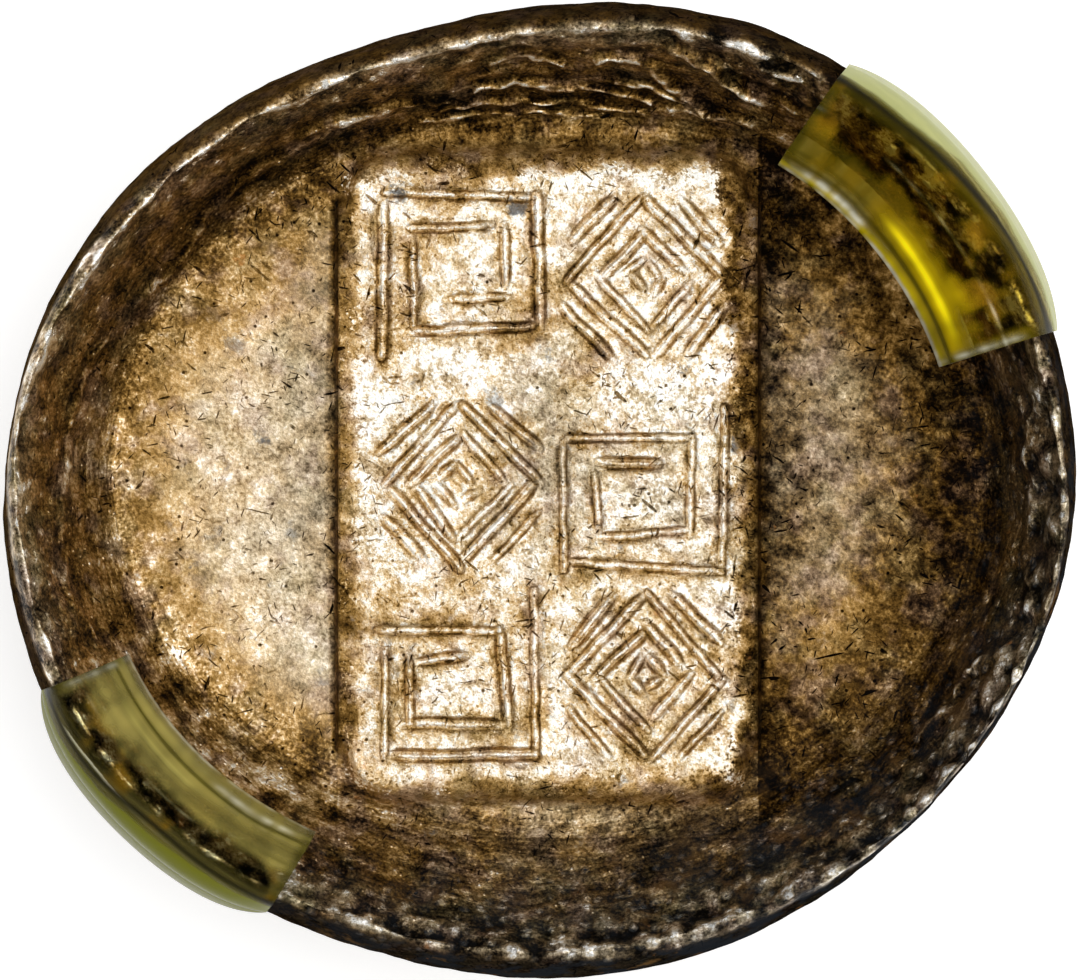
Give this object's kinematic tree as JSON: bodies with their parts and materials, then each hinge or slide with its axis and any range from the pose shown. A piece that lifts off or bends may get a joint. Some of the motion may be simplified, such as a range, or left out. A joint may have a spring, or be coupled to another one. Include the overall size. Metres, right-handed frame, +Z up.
{
  "type": "silver ingot",
  "caption": "Oval cast silver trough ingot with a raised rim, a dished top, a struck flat panel and slit tubing sleeves gripping the rim.",
  "frame": {"origin": "centre of the oval's box, on the flat base", "axes": "+Z up, out of the dish; +X along the oval's longer extent; +Y along the struck panel's length"},
  "size_m": [0.0538, 0.049, 0.018],
  "materials": {
    "aged_silver": "cast and hammered silver, bright where rubbed, brown-black patina on rim and walls",
    "clear_tubing": "clear soft vinyl tubing, yellowed"
  },
  "bodies": {
    "ingot": {"ingot": "aged_silver"},
    "right_sleeve": {"rim_sleeve_right": "clear_tubing"},
    "left_sleeve": {"rim_sleeve_left": "clear_tubing"}
  },
  "joints": [
    {"name": "right_sleeve_pull", "type": "slide", "parent": "ingot", "child": "right_sleeve", "axis": [0, 0, 1], "range_m": [0, 0.012]},
    {"name": "left_sleeve_pull", "type": "slide", "parent": "ingot", "child": "left_sleeve", "axis": [0, 0, 1], "range_m": [0, 0.012]}
  ]
}
